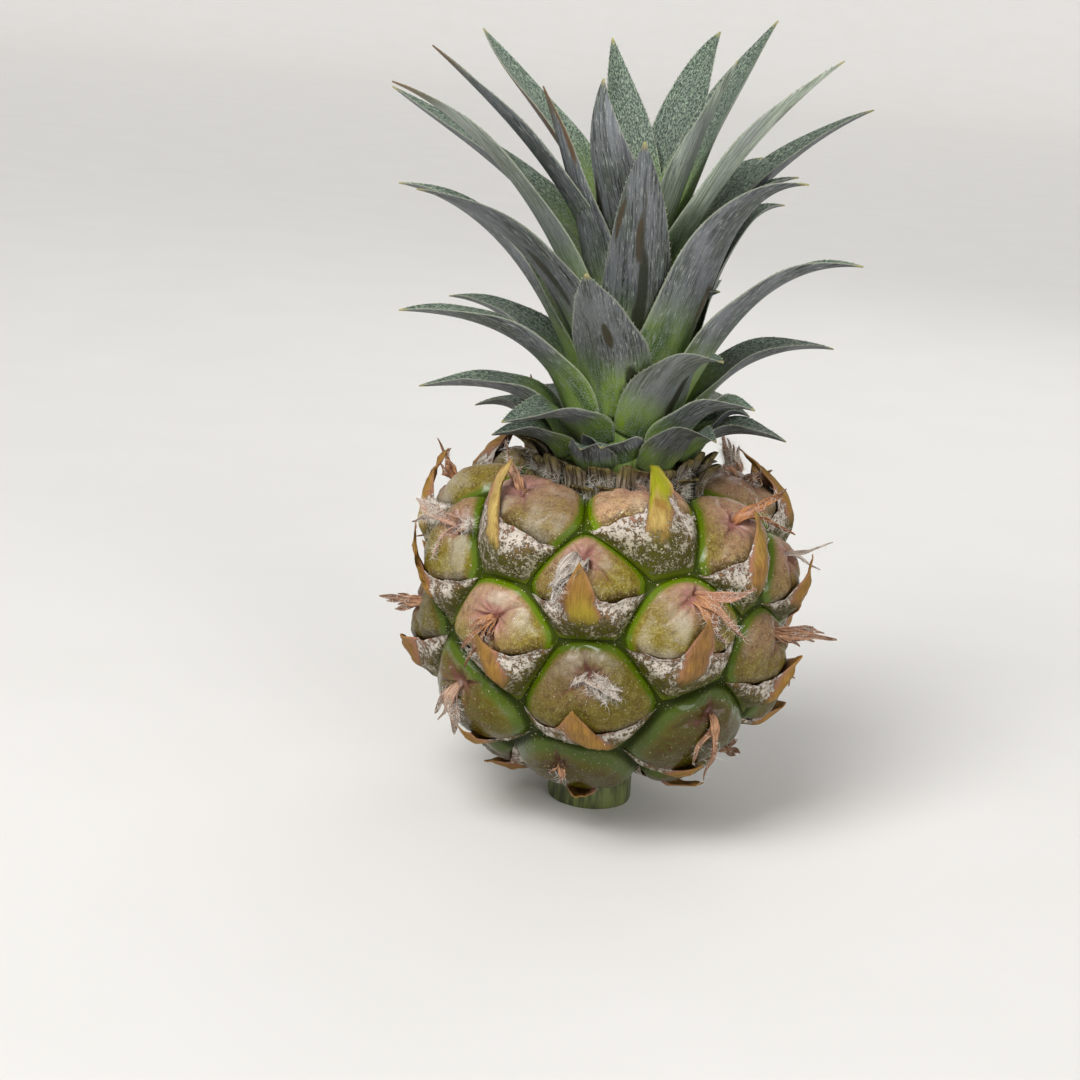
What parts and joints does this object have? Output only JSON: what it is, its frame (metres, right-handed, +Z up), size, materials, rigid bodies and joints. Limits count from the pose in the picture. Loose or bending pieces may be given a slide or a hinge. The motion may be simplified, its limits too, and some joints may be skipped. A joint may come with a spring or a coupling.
{
  "type": "miniature pineapple with crown",
  "caption": "Whole miniature pineapple: unpeeled rind of swollen fruitlets with dry bracts and withered flowers, leafy crown, and a short cut stub of stalk to stand on.",
  "frame": {"origin": "centre of the cut face at the lower end of the stalk's stub", "axes": "+Z up along the fruit's axis towards the crown, -Y is the side that faces the viewer, +X to the viewer's right"},
  "size_m": [0.0965, 0.0859, 0.1598],
  "materials": {
    "rind": "waxy rind, olive brown with green rims and pinkish grey bloom",
    "stalk_flesh": "dull green skin with a pale fibrous cut face",
    "stem_flesh": "fresh pale green, satin",
    "leaf_skin": "grey green with pale scurf, satin"
  },
  "bodies": {
    "root": {"fruit": "rind", "stalk": "stalk_flesh", "crown_stem": "stem_flesh", "leaf_01": "leaf_skin", "leaf_02": "leaf_skin", "leaf_03": "leaf_skin", "leaf_04": "leaf_skin", "leaf_05": "leaf_skin", "leaf_06": "leaf_skin", "leaf_07": "leaf_skin", "leaf_08": "leaf_skin", "leaf_09": "leaf_skin", "leaf_10": "leaf_skin", "leaf_11": "leaf_skin", "leaf_12": "leaf_skin", "leaf_13": "leaf_skin", "leaf_14": "leaf_skin", "leaf_15": "leaf_skin", "leaf_16": "leaf_skin", "leaf_17": "leaf_skin", "leaf_18": "leaf_skin", "leaf_19": "leaf_skin", "leaf_20": "leaf_skin", "leaf_21": "leaf_skin", "leaf_22": "leaf_skin", "leaf_23": "leaf_skin", "leaf_24": "leaf_skin", "leaf_25": "leaf_skin", "leaf_26": "leaf_skin", "leaf_27": "leaf_skin", "leaf_28": "leaf_skin", "leaf_29": "leaf_skin", "leaf_30": "leaf_skin", "leaf_31": "leaf_skin", "leaf_32": "leaf_skin", "leaf_33": "leaf_skin", "leaf_34": "leaf_skin", "leaf_35": "leaf_skin", "leaf_36": "leaf_skin", "leaf_37": "leaf_skin", "leaf_38": "leaf_skin", "leaf_39": "leaf_skin", "leaf_40": "leaf_skin", "leaf_41": "leaf_skin", "leaf_42": "leaf_skin", "leaf_43": "leaf_skin", "leaf_44": "leaf_skin", "leaf_45": "leaf_skin", "leaf_46": "leaf_skin", "leaf_47": "leaf_skin"}
  },
  "joints": []
}
